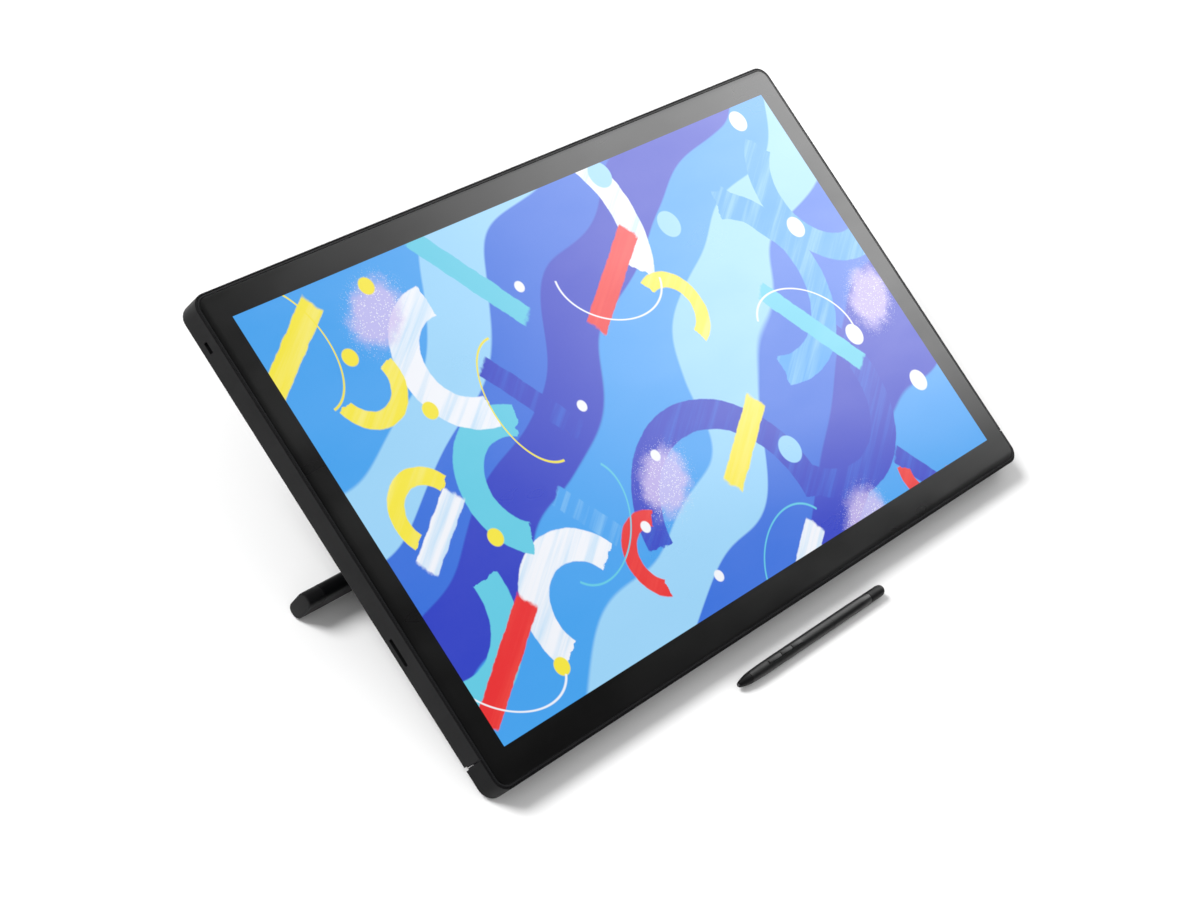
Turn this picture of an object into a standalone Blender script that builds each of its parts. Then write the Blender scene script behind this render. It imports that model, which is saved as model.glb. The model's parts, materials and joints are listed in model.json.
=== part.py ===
"""Pen display tablet: tilted display, fold-out bar stand and a loose pen.

Lengths are written in millimetres and turned into metres as meshes are made.
World: +X right, +Y to the back, +Z up, origin at the centre of the front foot.
"""
import math

import bmesh
import bpy
from mathutils import Matrix, Vector

MM = 0.001
NAME = "pen_display_tablet"

# Display body
TILT = math.radians(20.0)
HALF_W = 283.75
HALF_D = 169.5
CORNER = 10.0
BACK = -17.5
REAR_ROUND = 2.0
WALL = 2.5
FLOOR = 2.0
GAP = 0.3
SPLIT = -146.1
GROOVE_WIDTH = 2.2
GROOVE_DEPTH = 4.0
FOOT_LIFT = 0.9
FOOT_WIDTH = 7.0
FOOT_OFFSET = 2.3

# Electronics bay on the back
BAY_HALF = 205.0
BAY_LOW = 2.0
BAY_HIGH = 90.0
BAY_TOP = -17.8
BAY_BACK = -29.5
VESA = 75.0
VESA_Y = 46.0

# Stand
STAND_LEAN = math.radians(14.0)
HINGE_Y = -8.0
HINGE_Z = -23.7
BAR_THICK = 10.8
BAR_TALL = 20.7
BAR_ROUND = 5.0
BAR_END = 286.0
CAP = 13.0
PAD_PROUD = 0.6
ARM_X = 150.0
ARM_HALF = 31.0

# Pen
PEN_TIP = -74.0
PEN_Y = -29.8
PEN_R = 4.3
PEN_BUTTONS = ((31.0, 44.0), (44.6, 55.6), (56.2, 66.6))

# Where the display's own origin lies in the world
ROUND_Y = -HALF_D + REAR_ROUND
ROUND_Z = BACK + REAR_ROUND
ORIGIN_Y = -(ROUND_Y * math.cos(TILT) - ROUND_Z * math.sin(TILT)) - FOOT_OFFSET
ORIGIN_Z = -(ROUND_Y * math.sin(TILT) + ROUND_Z * math.cos(TILT)) + REAR_ROUND + FOOT_LIFT

# The stand bar hangs below the hinge so that its pads meet the desk
HINGE_WORLD_Z = ORIGIN_Z + HINGE_Y * math.sin(TILT) + HINGE_Z * math.cos(TILT)
BAR_REACH_Z = ((BAR_TALL / 2 - BAR_ROUND) * math.cos(STAND_LEAN)
               + (BAR_THICK / 2 - BAR_ROUND) * math.sin(STAND_LEAN) + BAR_ROUND)
BAR_DROP = (HINGE_WORLD_Z - BAR_REACH_Z - PAD_PROUD) / math.cos(STAND_LEAN)

# Colour, roughness and metallic of each material
MATERIALS = {
    "black_glass": ((0.010, 0.010, 0.011), 0.28, 0.0),
    "black_body": ((0.028, 0.028, 0.030), 0.55, 0.0),
    "grey_lip": ((0.10, 0.10, 0.105), 0.50, 0.0),
    "grey_cap": ((0.065, 0.066, 0.070), 0.50, 0.0),
    "dark_bar": ((0.022, 0.022, 0.024), 0.42, 0.0),
    "rubber": ((0.016, 0.016, 0.016), 0.85, 0.0),
    "aluminium": ((0.62, 0.62, 0.63), 0.38, 1.0),
    "steel": ((0.50, 0.50, 0.51), 0.32, 1.0),
    "brass": ((0.60, 0.42, 0.16), 0.35, 1.0),
    "green_board": ((0.012, 0.09, 0.045), 0.45, 0.0),
    "panel": ((0.03, 0.03, 0.045), 0.20, 0.0),
    "clear_sheet": ((0.75, 0.77, 0.78), 0.20, 0.0),
    "dark_plastic": ((0.040, 0.040, 0.043), 0.50, 0.0),
    "pen_plastic": ((0.020, 0.020, 0.022), 0.48, 0.0),
    "pen_grip": ((0.014, 0.014, 0.015), 0.62, 0.0),
    "nib_grey": ((0.12, 0.12, 0.125), 0.45, 0.0),
}


def remove_everything():
    """Clear the starting scene."""
    for obj in list(bpy.data.objects):
        bpy.data.objects.remove(obj, do_unlink=True)


def new_collection(name):
    collection = bpy.data.collections.new(name)
    bpy.context.scene.collection.children.link(collection)
    return collection


def make_empty(name, location, tilt, parent=None):
    """An empty whose X axis is world X, turned by tilt about it."""
    empty = bpy.data.objects.new(name, None)
    empty.location = Vector(location) * MM
    empty.rotation_euler = (tilt, 0.0, 0.0)
    empty.parent = parent
    bpy.context.scene.collection.objects.link(empty)
    return empty


def make_material(name, look):
    colour, roughness, metallic = MATERIALS[look]
    material = bpy.data.materials.new(name + "_material")
    material.use_nodes = True
    shader = material.node_tree.nodes["Principled BSDF"]
    shader.inputs["Base Color"].default_value = (*colour, 1.0)
    shader.inputs["Roughness"].default_value = roughness
    shader.inputs["Metallic"].default_value = metallic
    return material


def finish(name, bm, look, parent, origin=(0.0, 0.0, 0.0), smooth=False):
    """Turn a bmesh in millimetres into an object whose origin is at the given point."""
    bmesh.ops.recalc_face_normals(bm, faces=bm.faces)
    bmesh.ops.translate(bm, verts=bm.verts, vec=-Vector(origin))
    bmesh.ops.scale(bm, verts=bm.verts, vec=(MM, MM, MM))
    for face in bm.faces:
        face.smooth = smooth
    mesh = bpy.data.meshes.new(name)
    bm.to_mesh(mesh)
    bm.free()
    obj = bpy.data.objects.new(name, mesh)
    obj.location = Vector(origin) * MM
    obj.parent = parent
    if look is None:
        cutters.objects.link(obj)
        obj.hide_render = True
        obj.display_type = "WIRE"
    else:
        parts.objects.link(obj)
        mesh.materials.append(make_material(name, look))
    return obj


def slab(name, look, x, y, z, parent, corner=0.0, rear=0.0, front=0.0, origin=(0.0, 0.0, 0.0)):
    """A block between the given limits, with rounded upright edges and softened faces."""
    bm = bmesh.new()
    bmesh.ops.create_cube(bm, size=1.0)
    bmesh.ops.scale(bm, verts=bm.verts, vec=(x[1] - x[0], y[1] - y[0], z[1] - z[0]))
    centre = Vector((sum(x) / 2, sum(y) / 2, sum(z) / 2))
    bmesh.ops.translate(bm, verts=bm.verts, vec=centre)
    if corner:
        upright = [e for e in bm.edges if abs(e.verts[0].co.z - e.verts[1].co.z) > 1e-4]
        bmesh.ops.bevel(bm, geom=upright, offset=corner, segments=6, profile=0.5,
                        affect="EDGES", clamp_overlap=False)
    for level, radius, steps in ((z[0], rear, 3), (z[1], front, 1)):
        if radius:
            rim = [e for e in bm.edges
                   if all(abs(v.co.z - level) < 1e-4 for v in e.verts)
                   and len({round(f.normal.z) for f in e.link_faces}) == 2]
            bmesh.ops.bevel(bm, geom=rim, offset=radius, segments=steps, profile=0.5,
                            affect="EDGES", clamp_overlap=False)
    return finish(name, bm, look, parent, origin)


def flat_shape(name, outline, thickness):
    """A filled outline with thickness, lying in XY about Z = 0, as a bmesh."""
    curve = bpy.data.curves.new(name + "_outline", "CURVE")
    curve.dimensions = "2D"
    curve.fill_mode = "BOTH"
    curve.extrude = thickness / 2
    spline = curve.splines.new("POLY")
    spline.points.add(len(outline) - 1)
    for point, (a, b) in zip(spline.points, outline):
        point.co = (a, b, 0.0, 1.0)
    spline.use_cyclic_u = True
    holder = bpy.data.objects.new(name + "_outline", curve)
    bpy.context.scene.collection.objects.link(holder)
    evaluated = holder.evaluated_get(bpy.context.evaluated_depsgraph_get())
    mesh = bpy.data.meshes.new_from_object(evaluated)
    bpy.data.objects.remove(holder, do_unlink=True)
    bm = bmesh.new()
    bm.from_mesh(mesh)
    bpy.data.meshes.remove(mesh)
    bmesh.ops.remove_doubles(bm, verts=bm.verts, dist=0.002)
    return bm


def prism(name, look, outline, axis, start, end, parent, origin=(0.0, 0.0, 0.0), smooth=False):
    """A flat outline carried along X, Y or Z between two positions."""
    bm = flat_shape(name, outline, end - start)
    middle = (start + end) / 2
    for vert in bm.verts:
        a, b, depth = vert.co
        if axis == "x":
            vert.co = (middle + depth, a, b)
        elif axis == "y":
            vert.co = (a, middle + depth, b)
        else:
            vert.co = (a, b, middle + depth)
    return finish(name, bm, look, parent, origin, smooth)


def rod(name, look, radius, axis, start, end, centre, parent, sides=24, origin=(0.0, 0.0, 0.0)):
    """A round rod along X or Z; centre gives its two other coordinates."""
    bm = bmesh.new()
    bmesh.ops.create_cone(bm, cap_ends=True, segments=sides, radius1=radius, radius2=radius,
                          depth=end - start)
    middle = (start + end) / 2
    if axis == "x":
        bmesh.ops.rotate(bm, verts=bm.verts, matrix=Matrix.Rotation(math.pi / 2, 3, "Y"))
        place = (middle, centre[0], centre[1])
    elif axis == "y":
        bmesh.ops.rotate(bm, verts=bm.verts, matrix=Matrix.Rotation(math.pi / 2, 3, "X"))
        place = (centre[0], middle, centre[1])
    else:
        place = (centre[0], centre[1], middle)
    bmesh.ops.translate(bm, verts=bm.verts, vec=place)
    obj = finish(name, bm, look, parent, origin)
    shade_sides(obj)
    return obj


def shade_sides(obj):
    """Smooth the round sides and keep the end faces flat."""
    for polygon in obj.data.polygons:
        polygon.use_smooth = len(polygon.vertices) == 4


def turned(name, look, profile, parent, origin, sides=28):
    """A piece turned about a line along X, from (along, radius) pairs running outward first."""
    mesh = bpy.data.meshes.new(name)
    points = [(radius * MM, 0.0, along * MM) for along, radius in reversed(profile)]
    edges = [(i, i + 1) for i in range(len(points) - 1)]
    if profile[0][1] > 0.0:
        edges.append((len(points) - 1, 0))
    mesh.from_pydata(points, edges, [])
    obj = bpy.data.objects.new(name, mesh)
    obj.location = Vector(origin) * MM
    obj.rotation_euler = (0.0, math.pi / 2, 0.0)
    obj.parent = parent
    parts.objects.link(obj)
    mesh.materials.append(make_material(name, look))
    screw = obj.modifiers.new("turned", "SCREW")
    screw.axis = "Z"
    screw.steps = sides
    screw.render_steps = sides
    screw.use_merge_vertices = True
    screw.merge_threshold = 0.00001
    screw.use_smooth_shade = True
    return obj


def cut(target, cutter):
    """Take the cutter's shape away from the target."""
    modifier = target.modifiers.new("cut_" + cutter.name, "BOOLEAN")
    modifier.operation = "DIFFERENCE"
    modifier.solver = "EXACT"
    modifier.object = cutter


def cut_box(target, x, y, z, parent, corner=0.0):
    cutter = slab(f"{target.name}_opening_{len(target.modifiers)}", None, x, y, z, parent, corner)
    cut(target, cutter)


def cut_hole(target, radius, axis, start, end, centre, parent, sides=20):
    name = f"{target.name}_hole_{len(target.modifiers)}"
    cut(target, rod(name, None, radius, axis, start, end, centre, parent, sides))


def oval(half_a, half_b, radius, steps=5):
    """A rectangle outline with rounded corners."""
    points = []
    for quarter, (sa, sb) in enumerate(((1, 1), (-1, 1), (-1, -1), (1, -1))):
        for step in range(steps + 1):
            angle = math.pi / 2 * (quarter + step / steps)
            points.append((sa * (half_a - radius) + radius * math.cos(angle),
                           sb * (half_b - radius) + radius * math.sin(angle)))
    return points


def display_stack(body):
    """Glass, lip, panel, light guide, sensing board and chassis, front to back."""
    slab("cover_glass", "black_glass", (-280.9, 280.9), (-166.8, 166.8), (-1.1, 0.0), body,
         corner=7.3, front=0.3)
    lip = slab("mid_frame", "grey_lip", (-282.3, 282.3), (-168.2, 168.2), (-4.5, -0.1), body,
               corner=8.7, front=0.25)
    cut_box(lip, (-281.2, 281.2), (-167.1, 167.1), (-1.4, 3.0), body, corner=7.6)
    cut_box(lip, (-268.5, 268.5), (-151.4, 154.0), (-8.0, 2.0), body)
    slab("lcd_panel", "panel", (-267.5, 267.5), (-150.2, 152.8), (-3.0, -1.4), body)
    slab("light_guide", "clear_sheet", (-266.0, 266.0), (-149.0, 151.5), (-5.3, -3.3), body)
    tray = slab("panel_tray", "aluminium", (-267.5, 267.5), (-150.4, 153.0), (-7.1, -3.3), body)
    cut_box(tray, (-266.4, 266.4), (-149.3, 151.9), (-5.6, 1.0), body)
    slab("digitizer_board", "green_board", (-264.0, 264.0), (-147.0, 150.0), (-8.2, -7.4), body)
    slab("shield_plate", "steel", (-264.0, 264.0), (-147.0, 150.0), (-9.0, -8.5), body)
    chassis = slab("chassis_plate", "aluminium", (-272.0, 272.0), (-158.0, 158.0),
                   (-10.8, -9.3), body, corner=6.0)
    cut_box(chassis, (-60.0, -20.0), (16.0, 50.0), (-13.0, -7.0), body)


def housing_shell(name, body):
    """The whole outer shell; each of the two covers keeps only its own side."""
    shell = slab(name, "black_body", (-HALF_W, HALF_W), (-HALF_D, HALF_D), (BACK, -0.15), body,
                 corner=CORNER, rear=REAR_ROUND, front=0.4)
    cut_box(shell, (-282.65, 282.65), (-168.55, 168.55), (-4.8, 3.0), body, corner=9.0)
    cut_box(shell, (-HALF_W + WALL, HALF_W - WALL), (-164.5, HALF_D - WALL),
            (BACK + FLOOR, 1.0), body, corner=7.5)
    return shell


def covers(body):
    """Rear cover and the wrap-round lower trim, with the groove between them."""
    cover = housing_shell("rear_cover", body)
    cut_box(cover, (-300.0, 300.0), (-200.0, SPLIT + 0.25), (-30.0, 10.0), body)
    trim = housing_shell("lower_trim", body)
    cut_box(trim, (-300.0, 300.0), (SPLIT - 0.25, 200.0), (-30.0, 10.0), body)
    low = SPLIT - GROOVE_WIDTH / 2
    high = SPLIT + GROOVE_WIDTH / 2
    floor_z = BACK + GROOVE_DEPTH
    cut_box(cover, (-310.0, 310.0), (low - 1.0, high), (-31.0, floor_z), body)
    cut_box(trim, (-310.0, 310.0), (low, high + 1.0), (-31.0, floor_z), body)
    strip = slab("joint_strip", "dark_plastic", (-279.0, 279.0), (-151.0, -141.2),
                 (-15.2, -12.5), body)
    cut_box(strip, (-300.0, 300.0), (low, high), (-31.0, floor_z), body)
    slab("lower_stiffener", "steel", (-270.0, 270.0), (-162.5, -153.0), (-15.2, -11.4), body)
    return cover, trim


def side_features(body, cover):
    """Lock slot and pen slots in the side walls, and the pieces behind them."""
    cut_box(cover, (-290.0, -280.0), (136.25, 143.75), (-10.9, -7.9), body)
    lock = slab("lock_plate", "steel", (-280.9, -279.4), (130.0, 150.0), (-14.5, -5.5), body)
    cut_box(lock, (-290.0, -275.0), (136.25, 143.75), (-10.9, -7.9), body)
    for side, label in ((-1, "left"), (1, "right")):
        wall = sorted((side * 290.0, side * 280.0))
        cut_box(cover, wall, (-78.25, -59.55), (-12.5, -9.7), body)
        block = sorted((side * 280.9, side * 273.0))
        socket = slab(f"pen_socket_{label}", "dark_plastic", block, (-81.0, -57.0),
                      (-14.2, -8.2), body)
        hollow = sorted((side * 285.0, side * 274.5))
        cut_box(socket, hollow, (-78.25, -59.55), (-12.5, -9.7), body)


def power_controls(body, cover):
    """Power button in the top wall with its board and switch."""
    cut_box(cover, (220.0, 236.0), (164.0, 175.0), (-11.6, -7.2), body)
    outline = ((217.0, 165.0), (239.0, 165.0), (239.0, 166.7), (235.7, 166.7),
               (235.7, 170.1), (220.3, 170.1), (220.3, 166.7), (217.0, 166.7))
    prism("power_button", "dark_bar", outline, "z", -11.3, -7.5, body,
          origin=(228.0, 166.7, -9.4))
    slab("power_board", "green_board", (214.0, 242.0), (160.0, 161.5), (-14.8, -5.2), body)
    slab("power_switch", "steel", (225.0, 231.0), (161.8, 164.2), (-11.4, -7.4), body)


def bay(body, cover):
    """Electronics bay with its boards, sockets, mounting inserts and screws."""
    cut_box(cover, (-180.0, 180.0), (16.0, 74.0), (-30.0, -12.0), body)
    bay_cover = slab("bay_cover", "black_body", (-BAY_HALF, BAY_HALF), (BAY_LOW, BAY_HIGH),
                     (BAY_BACK, BAY_TOP), body, corner=8.0, rear=2.0)
    cut_box(bay_cover, (-203.0, 203.0), (4.0, 88.0), (-27.5, -10.0), body, corner=6.0)
    for column in range(-4, 5):
        x = column * 22.0
        cut_box(bay_cover, (x - 7.0, x + 7.0), (85.0, 95.0), (-24.5, -21.5), body)
    boards(body)
    sockets = (("hdmi_port", 22.0, 37.0, 5.6), ("usb_port_lower", 44.0, 53.4, 3.6),
               ("usb_port_upper", 59.0, 68.4, 3.6))
    for name, low, high, tall in sockets:
        top = -20.2
        port = slab(name, "steel", (191.0, 204.7), (low, high), (top - tall, top), body)
        cut_box(port, (193.0, 210.0), (low + 0.6, high - 0.6), (top - tall + 0.6, top - 0.6), body)
        cut_box(bay_cover, (200.0, 210.0), (low - 0.3, high + 0.3),
                (top - tall - 0.3, top + 0.3), body)
    number = 0
    for x in (-VESA / 2, VESA / 2):
        for y in (VESA_Y - VESA / 2, VESA_Y + VESA / 2):
            number += 1
            cut_hole(bay_cover, 3.3, "z", -35.0, -25.0, (x, y), body)
            insert = rod(f"vesa_insert_{number}", "brass", 3.0, "z", -29.5, -21.5, (x, y), body)
            cut_hole(insert, 1.7, "z", -40.0, -10.0, (x, y), body)
    number = 0
    for x in (-194.0, 194.0):
        for y in (10.0, 82.0):
            number += 1
            cut_hole(bay_cover, 3.2, "z", -35.0, -28.4, (x, y), body)
            cut_hole(bay_cover, 1.6, "z", -35.0, -20.0, (x, y), body)
            cut_hole(cover, 1.6, "z", -20.0, -12.0, (x, y), body)
            profile = ((0.0, 0.0), (0.0, 2.6), (0.4, 2.9), (1.1, 2.9), (1.1, 1.2),
                       (14.6, 1.2), (15.2, 0.6), (15.2, 0.0))
            bolt = turned(f"bay_screw_{number}", "steel", profile, body, (x, y, -29.5), 20)
            bolt.rotation_euler = (0.0, 0.0, 0.0)
    return bay_cover


def boards(body):
    """Circuit boards, processor and heat spreader inside the bay."""
    slab("main_board", "green_board", (-70.0, 90.0), (14.0, 78.0), (-21.5, -20.0), body)
    slab("processor", "dark_plastic", (0.0, 20.0), (36.0, 56.0), (-23.4, -21.8), body)
    slab("heat_spreader", "aluminium", (-22.0, 62.0), (22.0, 70.0), (-25.4, -23.7), body)
    slab("io_board", "green_board", (150.0, 201.0), (18.0, 72.0), (-19.9, -18.4), body)
    slab("driver_board", "green_board", (-170.0, -90.0), (22.0, 66.0), (-14.5, -13.0), body)


def hinges(body, cover):
    """Steel channels inside the cover whose ears come out and carry the hinge pins."""
    for side, label in ((-1, "left"), (1, "right")):
        middle = side * ARM_X
        outline = [(middle + a, b) for a, b in (
            (-42.0, -13.7), (-42.0, -15.2), (-36.0, -15.2), (-36.0, -28.6), (-32.5, -28.6),
            (-32.5, -15.0), (32.5, -15.0), (32.5, -28.6), (36.0, -28.6), (36.0, -15.2),
            (42.0, -15.2), (42.0, -13.7))]
        bracket = prism(f"hinge_bracket_{label}", "steel", outline, "y",
                        HINGE_Y - 5.0, HINGE_Y + 5.0, body)
        cut_hole(bracket, 2.6, "x", middle - 50.0, middle + 50.0, (HINGE_Y, HINGE_Z), body)
        for ear in (-34.25, 34.25):
            centre = middle + ear
            cut_box(cover, (centre - 2.1, centre + 2.1), (HINGE_Y - 5.3, HINGE_Y + 5.3),
                    (-30.0, -15.3), body)
        rod(f"hinge_pin_{label}", "steel", 2.3, "x", middle - 37.5, middle + 37.5,
            (HINGE_Y, HINGE_Z), body)


def front_foot(trim):
    """Rubber strip under the lower rear corner, flat on the desk."""
    half = FOOT_WIDTH / 2
    slab("front_foot", "rubber", (-240.0, 240.0), (-half, half), (0.0, 2.5), None)
    cut_box(trim, (-240.3, 240.3), (-half - 0.3, half + 0.3), (-2.0, 2.8), None)


def stand(body):
    """Bar, end caps, arms and pads, all about the hinge axis."""
    frame = make_empty("stand_frame", (0.0, HINGE_Y, HINGE_Z), STAND_LEAN - TILT, body)
    level = make_empty("stand_level", (0.0, 0.0, 0.0), -STAND_LEAN, frame)
    section = oval(BAR_THICK / 2, BAR_TALL / 2, BAR_ROUND)
    outline = [(a, b - BAR_DROP) for a, b in section]
    inner = BAR_END - CAP - GAP
    bar = prism("stand_bar", "dark_bar", outline, "x", -inner, inner, frame)
    hollow = [(a, b - BAR_DROP) for a, b in oval(2.9, 7.2, 2.0, 3)]
    cut(bar, prism("stand_bar_hollow", None, hollow, "x", -inner - 5.0, inner + 5.0, frame))
    for side, label in ((-1, "left"), (1, "right")):
        ends = sorted((side * (inner + GAP), side * BAR_END))
        cap = prism(f"stand_end_cap_{label}", "grey_cap", outline, "x", ends[0], ends[1], frame)
        soften_end(cap, side)
        stand_arm(side, label, frame)
        stand_pad(side, label, level, bar)


def soften_end(cap, side):
    """Round the outer rim of an end cap."""
    bm = bmesh.new()
    bm.from_mesh(cap.data)
    outer = side * BAR_END * MM
    rim = [e for e in bm.edges if all(abs(v.co.x - outer) < 1e-6 for v in e.verts)]
    bmesh.ops.bevel(bm, geom=rim, offset=1.2 * MM, segments=3, profile=0.5,
                    affect="EDGES", clamp_overlap=True)
    bm.to_mesh(cap.data)
    bm.free()


def stand_arm(side, label, frame):
    """Flat arm with a knuckle round the pin and a foot shaped to the bar."""
    knuckle = []
    for step in range(17):
        angle = math.radians(-30.0 + 240.0 * step / 16)
        knuckle.append((5.0 * math.cos(angle), 5.0 * math.sin(angle)))
    low = -BAR_DROP + 7.0
    outline = knuckle + [(-3.5, -8.0), (-3.5, low), (3.5, low), (3.5, -8.0)]
    middle = side * ARM_X
    arm = prism(f"stand_arm_{label}", "dark_bar", outline, "x", middle - ARM_HALF,
                middle + ARM_HALF, frame)
    cut_hole(arm, 2.6, "x", middle - 50.0, middle + 50.0, (0.0, 0.0), frame)
    around = [(a, b - BAR_DROP) for a, b in
              oval(BAR_THICK / 2 + GAP, BAR_TALL / 2 + GAP, BAR_ROUND + GAP)]
    cut(arm, prism(f"stand_arm_{label}_seat", None, around, "x", middle - 50.0,
                   middle + 50.0, frame))


def stand_pad(side, label, level, bar):
    """Rubber pad set in the bar, level with the desk."""
    lowest_y = (BAR_THICK / 2 - BAR_ROUND) * -math.cos(STAND_LEAN)
    lowest_y += (BAR_TALL / 2 - BAR_ROUND) * math.sin(STAND_LEAN)
    middle_y = BAR_DROP * math.sin(STAND_LEAN) + lowest_y
    desk = -HINGE_WORLD_Z
    ends = sorted((side * 90.0, side * 230.0))
    slab(f"stand_pad_{label}", "rubber", ends, (middle_y - 2.6, middle_y + 2.6),
         (desk, desk + 1.2), level)
    cut_box(bar, (ends[0] - 0.3, ends[1] + 0.3), (middle_y - 2.9, middle_y + 2.9),
            (desk - 2.0, desk + 1.5), level)


def pen():
    """Loose pen lying on the desk in front of the display, tip to the left."""
    at = (PEN_TIP, PEN_Y, PEN_R)
    turned("pen_nib", "nib_grey", ((0.0, 0.0), (0.05, 0.35), (0.5, 0.75), (1.6, 0.85),
           (16.0, 0.85), (16.0, 0.0)), None, at, 20)
    turned("pen_cone", "pen_grip", ((1.3, 1.2), (1.5, 1.65), (6.0, 2.9), (11.6, 3.75),
           (11.6, 3.0), (4.0, 1.2)), None, at, 32)
    barrel = turned("pen_barrel", "pen_plastic", ((11.9, 3.0), (11.9, 3.8), (20.0, 4.12),
                    (32.0, 4.3), (120.0, 4.3), (144.7, 4.12), (145.0, 4.0), (145.0, 3.0)),
                    None, at, 32)
    turned("pen_core", "green_board", ((17.0, 0.0), (17.0, 1.9), (130.0, 1.9), (130.0, 0.0)),
           None, at, 20)
    turned("pen_tail_cap", "pen_grip", ((136.0, 0.0), (136.0, 2.6), (145.3, 2.6), (145.3, 4.12),
           (158.0, 4.05), (160.2, 3.7), (161.5, 2.9), (162.0, 1.8), (162.0, 0.0)), None, at, 32)
    cut_box(barrel, (PEN_TIP + 30.7, PEN_TIP + 66.9), (PEN_Y - 1.5, PEN_Y + 1.5),
            (PEN_R + 2.0, PEN_R + 8.0), None)
    for number, (start, end) in enumerate(PEN_BUTTONS, 1):
        pen_button(number, start, end)


def pen_button(number, start, end):
    """Side button with a crowned top, set in the barrel's slot."""
    crown = []
    for step in range(9):
        across = -1.2 + 2.4 * step / 8
        crown.append((PEN_Y + across, PEN_R + math.sqrt(4.75 ** 2 - across ** 2)))
    outline = [(PEN_Y + 1.2, PEN_R + 2.45), (PEN_Y - 1.2, PEN_R + 2.45)] + crown
    prism(f"pen_button_{number}", "pen_grip", outline, "x", PEN_TIP + start, PEN_TIP + end, None,
          origin=(PEN_TIP + (start + end) / 2, PEN_Y, PEN_R + 4.0))


def build():
    body = make_empty("display_frame", (0.0, ORIGIN_Y, ORIGIN_Z), TILT)
    display_stack(body)
    cover, trim = covers(body)
    side_features(body, cover)
    power_controls(body, cover)
    bay(body, cover)
    hinges(body, cover)
    front_foot(trim)
    stand(body)
    pen()


remove_everything()
parts = new_collection(NAME)
cutters = new_collection("cutters")
build()
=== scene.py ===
"""Looks of the pen display tablet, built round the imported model.

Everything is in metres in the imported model's frame: +X right, +Y back, +Z up, desk at Z = 0.
The display leans back by TILT; its own frame lies in the middle of the front glass.
"""
import json
import math

import bmesh
import bpy
from mathutils import Matrix, Vector


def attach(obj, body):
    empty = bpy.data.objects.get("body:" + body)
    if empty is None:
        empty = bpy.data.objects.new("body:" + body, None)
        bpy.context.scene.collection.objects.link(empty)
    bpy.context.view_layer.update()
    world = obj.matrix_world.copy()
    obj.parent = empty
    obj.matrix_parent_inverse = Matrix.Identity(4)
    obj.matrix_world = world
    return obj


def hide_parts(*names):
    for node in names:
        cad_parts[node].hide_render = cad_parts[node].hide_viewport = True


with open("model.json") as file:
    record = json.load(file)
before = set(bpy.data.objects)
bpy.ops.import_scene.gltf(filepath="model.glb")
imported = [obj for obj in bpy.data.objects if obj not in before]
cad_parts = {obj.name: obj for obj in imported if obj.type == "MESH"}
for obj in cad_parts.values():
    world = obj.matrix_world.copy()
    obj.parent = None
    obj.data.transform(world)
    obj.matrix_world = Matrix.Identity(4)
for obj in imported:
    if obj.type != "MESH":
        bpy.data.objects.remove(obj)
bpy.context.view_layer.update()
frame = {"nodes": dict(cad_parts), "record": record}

MM = 0.001

# Display body, millimetres in the display's own frame
TILT = math.radians(20.0)
HALF_W = 283.75
HALF_D = 169.5
CORNER = 10.0
BACK = -17.5
REAR_ROUND = 2.0
WALL = 2.5
SPLIT = -146.1
PICTURE = (-263.52, 263.52, -146.93, 149.53)
SPREAD_W = 0.54      # metres of the picture over which its shapes are scattered
SPREAD_H = 0.31
SLANT = math.radians(33.0)

# Stand and pen
STAND_LEAN = math.radians(14.0)
HINGE_Y = -8.0
HINGE_Z = -23.7
BAR_THICK = 10.8
BAR_TALL = 20.7
BAR_ROUND = 5.0
BAR_END = 286.0
CAP = 13.0
PEN_TIP = -74.0
PEN_Y = -29.8
PEN_R = 4.3
PEN_BUTTONS = ((31.0, 44.0), (44.6, 55.6), (56.2, 66.6))

ROUND_Y = -HALF_D + REAR_ROUND
ROUND_Z = BACK + REAR_ROUND
ORIGIN_Y = -(ROUND_Y * math.cos(TILT) - ROUND_Z * math.sin(TILT)) - 2.3
ORIGIN_Z = -(ROUND_Y * math.sin(TILT) + ROUND_Z * math.cos(TILT)) + REAR_ROUND + 0.9
HINGE_WORLD_Z = ORIGIN_Z + HINGE_Y * math.sin(TILT) + HINGE_Z * math.cos(TILT)
BAR_REACH = ((BAR_TALL / 2 - BAR_ROUND) * math.cos(STAND_LEAN)
             + (BAR_THICK / 2 - BAR_ROUND) * math.sin(STAND_LEAN) + BAR_ROUND)
BAR_DROP = (HINGE_WORLD_Z - BAR_REACH - 0.6) / math.cos(STAND_LEAN)

# Camera
CAMERA_PLACE = Vector((-1.26922, -0.41016, 1.16065))
CAMERA_LENS = 81.53

WORLD = Matrix.Identity(4)
DISPLAY = Matrix.Translation((0.0, ORIGIN_Y * MM, ORIGIN_Z * MM)) @ Matrix.Rotation(TILT, 4, "X")
STAND = (DISPLAY @ Matrix.Translation((0.0, HINGE_Y * MM, HINGE_Z * MM))
         @ Matrix.Rotation(STAND_LEAN - TILT, 4, "X"))
STAND_LEVEL = STAND @ Matrix.Rotation(-STAND_LEAN, 4, "X")
PEN = Matrix.Translation((PEN_TIP * MM, PEN_Y * MM, PEN_R * MM))


# ---------------------------------------------------------------- materials

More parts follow.
